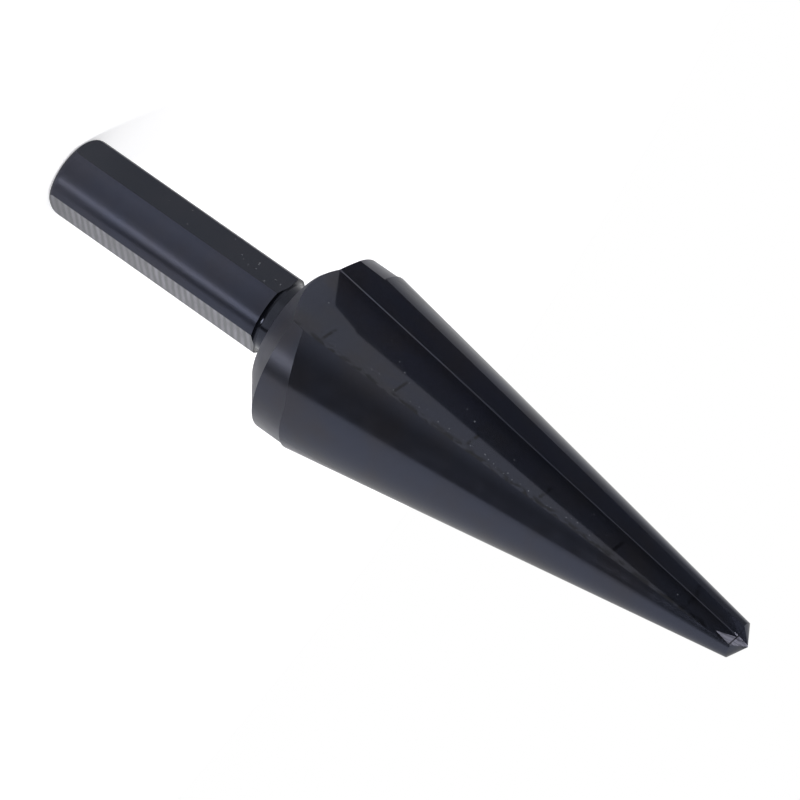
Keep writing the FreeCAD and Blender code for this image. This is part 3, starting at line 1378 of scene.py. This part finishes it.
def residues(drill: Drill) -> list[Specks]:
    """List the patches of oil and dust on a drill.

    Args:
        drill: The drill, whose sizes tell where its surfaces are.

    Returns:
        The patches, from the shank to the tip.
    """
    neck = ((14.0, -0.4), (14.0, 1.2), (18.0, 1.2), (18.0, -0.4))
    shank = ((5.0, -1.2), (5.0, 1.2), (14.0, 1.2), (14.0, -1.2))
    heel = ((24.6, 5.7), (24.6, 6.6), (46.0, 2.9), (46.0, 2.4))
    wall = ((21.5, 1.0), (21.5, 5.0), (54.0, 1.0), (54.0, 0.4))
    return [
        Specks(
            "oil_near_the_neck",
            OIL,
            tuple(on_flat(drill.flats, *spot) for spot in neck),
            density=1.5,
            smallest=0.05,
            largest=0.11,
            seed=3,
        ),
        Specks(
            "oil_along_the_shank",
            OIL,
            tuple(on_flat(drill.flats, *spot) for spot in shank),
            density=0.2,
            smallest=0.03,
            largest=0.07,
            seed=5,
        ),
        Specks(
            "dust_along_the_heel",
            DUST,
            tuple(on_heel_wall(drill.flute, *spot) for spot in heel),
            density=2.4,
            smallest=0.018,
            largest=0.04,
            seed=7,
        ),
        Specks(
            "dust_in_the_flute",
            DUST,
            tuple(on_heel_wall(drill.flute, *spot) for spot in wall),
            density=0.16,
            smallest=0.02,
            largest=0.045,
            seed=11,
        ),
    ]


@dataclass(frozen=True)
class Glow:
    """A patch of the surroundings that is lighter or darker than the rest.

    Its middle is a direction and a height in degrees, its reach is how far it spreads from the
    middle sideways and upwards, and soft is the width of its edge.
    """

    turn: float
    height: float
    across: float
    tall: float
    soft: float
    level: float


@dataclass
class Studio:
    """The pale floor, the soft light and the camera.

    The surroundings are a white tent. The room behind the camera is dark, which is what makes
    the black steel's near side darker than its rims, and a narrow lamp high beside the camera
    draws the streak along the shank. The steel sees the floor's paper painted dark far out and
    in a gap at one side, where the dark room's mirror image begins, and its glow fade towards -X:
    painted shade, as the camera sees white paper there. Places on the floor are in millimetres.
    """

    floor_radius: float = 120.0
    floor_edges: int = 96
    paper: str = "#e4e4e6"
    shadow: str = "#1c1c20"
    glow: float = 0.36
    gap_turn: float = -3.0
    gap_half: float = 5.0
    gap_soft: float = 4.0
    gap_from: tuple[float, float] = (8.0, 11.0)
    far: tuple[float, float] = (60.0, 110.0)
    far_dark: float = 0.3
    lit_from: tuple[float, float] = (-12.0, 2.0)
    camera_place: tuple[float, float, float] = (0.1359485, -0.2221201, 0.1069628)
    camera_right: tuple[float, float, float] = (-0.61326277, -0.10021833, 0.78349541)
    camera_up: tuple[float, float, float] = (-0.61109197, -0.56829167, -0.55100923)
    camera_forward: tuple[float, float, float] = (-0.50047514, 0.81670121, -0.28726951)
    lens: float = 181.119
    sensor: float = 36.0
    nearest: float = 0.01
    white: float = 0.95
    patches: tuple[Glow, ...] = (
        Glow(40.0, 0.0, 35.0, 40.0, 30.0, 1.05),
        Glow(114.0, 0.0, 24.0, 40.0, 30.0, 0.62),
        Glow(-165.0, -5.0, 25.0, 35.0, 20.0, 0.58),
        Glow(-163.0, 16.5, 20.0, 20.0, 3.0, 0.3),
        Glow(-40.0, 20.0, 35.0, 42.0, 6.0, 0.06),
        Glow(-84.0, 20.0, 26.0, 42.0, 44.0, 0.6),
        Glow(-110.0, 48.0, 22.0, 16.0, 6.0, 2.6),
        Glow(-2.0, 35.0, 6.0, 30.0, 3.0, 0.05),
        Glow(-20.0, 43.5, 6.5, 30.0, 4.0, 13.0),
    )

    def darkness(self, tree: NodeTree, x: NodeSocket, y: NodeSocket) -> NodeSocket:
        """Work out how dark the steel sees each place of the floor.

        Args:
            tree: The floor's node tree.
            x: The place along X, in millimetres.
            y: The place along Y.

        Returns:
            The socket of the darkness, from nought to one.
        """
        squares = (calculate(tree, "MULTIPLY", side, side) for side in (x, y))
        out = calculate(tree, "SQRT", calculate(tree, "ADD", *squares))
        around = calculate(tree, "DEGREES", calculate(tree, "ARCTAN2", y, x))
        gap = band(tree, around, self.gap_turn, self.gap_half, self.gap_soft)
        gap = calculate(tree, "MULTIPLY", gap, ramp(tree, out, self.gap_from))
        return calculate(tree, "MAXIMUM", gap, ramp(tree, out, self.far, (0.0, self.far_dark)))

    def floor(self) -> Object:
        """Build the pale floor under the drill.

        Returns:
            The floor's object.
        """
        mesh = bmesh.new()
        bmesh.ops.create_circle(
            mesh, cap_ends=True, segments=self.floor_edges, radius=self.floor_radius * MM
        )
        material = bpy.data.materials.new("pale_floor")
        tree = clear_tree(material)
        place = place_in_mm(tree)
        x, y = (distance_along(tree, place, direction(turn)) for turn in (0.0, 90.0))
        # Painted shade: the paper is darker far out and in a gap, which only the steel's mirror
        # shows.
        dark = self.darkness(tree, x, y)
        colour = blend(tree, dark, self.paper, self.shadow)
        card = add_node(tree, "ShaderNodeBsdfDiffuse", links={"Color": colour})
        path = add_node(tree, "ShaderNodeLightPath").outputs
        lit = ramp(tree, x, self.lit_from)
        lit = calculate(tree, "MULTIPLY", lit, calculate(tree, "SUBTRACT", 1.0, dark))
        mirrored = calculate(tree, "MAXIMUM", path["Is Glossy Ray"], path["Is Transmission Ray"])
        mirrored = calculate(tree, "MULTIPLY", mirrored, lit)
        mirrored = calculate(tree, "MULTIPLY", mirrored, self.glow)
        bare = calculate(tree, "MULTIPLY", dark, 1.0 - self.glow)
        bare = calculate(tree, "ADD", bare, self.glow)
        bare = calculate(tree, "MULTIPLY", bare, path["Is Camera Ray"])
        glow = add_node(
            tree,
            "ShaderNodeEmission",
            {"Color": (1, 1, 1, 1)},
            {"Strength": calculate(tree, "MAXIMUM", mirrored, bare)},
        )
        both = add_node(
            tree,
            "ShaderNodeAddShader",
            links={0: card.outputs["BSDF"], 1: glow.outputs["Emission"]},
        )
        add_node(tree, "ShaderNodeOutputMaterial", links={"Surface": both.outputs["Shader"]})
        floor = finish_mesh(mesh, "floor", [material])
        return floor

    def camera(self) -> Object:
        """Set up the camera at the photograph's viewing angle.

        Returns:
            The camera.
        """
        data = bpy.data.cameras.new("camera")
        data.lens = self.lens
        data.sensor_width = self.sensor
        data.clip_start = self.nearest
        camera = bpy.data.objects.new("camera", data)
        axes = (self.camera_right, self.camera_up, [-value for value in self.camera_forward])
        turn = Matrix(axes).transposed().to_4x4()
        camera.matrix_world = Matrix.Translation(self.camera_place) @ turn
        bpy.context.scene.collection.objects.link(camera)
        bpy.context.scene.camera = camera
        return camera

    def patch(
        self, tree: NodeTree, turn: NodeSocket, height: NodeSocket, glow: Glow
    ) -> NodeSocket:
        """Work out how far a direction lies inside a patch, from nought to one.

        Args:
            tree: The world's node tree.
            turn: The direction round the axis, in degrees.
            height: The height above the horizon, in degrees.
            glow: The patch.

        Returns:
            The socket that holds the share.
        """
        away = calculate(tree, "SUBTRACT", turn, glow.turn)
        around = calculate(tree, "WRAP", away, 180.0, -180.0)
        sideways = band(tree, around, 0.0, glow.across, glow.soft)
        upwards = band(tree, height, glow.height, glow.tall, glow.soft)
        return calculate(tree, "MULTIPLY", sideways, upwards)

    def light(self) -> None:
        """Set up the world's plain soft light."""
        world = bpy.data.worlds.new("studio")
        bpy.context.scene.world = world
        tree = clear_tree(world)
        place = add_node(tree, "ShaderNodeTexCoord")
        parts = add_node(tree, "ShaderNodeSeparateXYZ", links={0: place.outputs["Generated"]})
        turn = calculate(tree, "ARCTAN2", parts.outputs["Y"], parts.outputs["X"])
        turn = calculate(tree, "DEGREES", turn)
        height = calculate(tree, "DEGREES", calculate(tree, "ARCSINE", parts.outputs["Z"]))
        level = add_node(tree, "ShaderNodeValue")
        level.outputs[0].default_value = self.white
        level = level.outputs[0]
        for glow in self.patches:
            share = self.patch(tree, turn, height, glow)
            level = add_node(
                tree,
                "ShaderNodeMapRange",
                {"To Max": glow.level},
                {"Value": share, "To Min": level},
            ).outputs["Result"]
        camera = add_node(tree, "ShaderNodeLightPath").outputs["Is Camera Ray"]
        level = add_node(
            tree, "ShaderNodeMapRange", {"To Max": 1.0}, {"Value": camera, "To Min": level}
        ).outputs["Result"]
        glow = add_node(tree, "ShaderNodeBackground", {"Color": (1, 1, 1, 1)}, {"Strength": level})
        add_node(tree, "ShaderNodeOutputWorld", links={"Surface": glow.outputs["Background"]})


def main() -> None:
    """Build the scene."""
    logging.basicConfig(level=logging.INFO, format="%(message)s")
    bpy.context.scene.view_settings.view_transform = "Standard"
    studio = Studio()
    studio.camera()
    studio.floor()
    studio.light()
    drill = Drill()
    body = drill.build()
    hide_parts(NODE)
    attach(body, BODY)
    materials = {finish: finish.make() for finish in (OIL, DUST)}
    for specks in residues(drill):
        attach(specks.build(materials[specks.finish]), BODY)


if __name__ == "__main__":
    main()
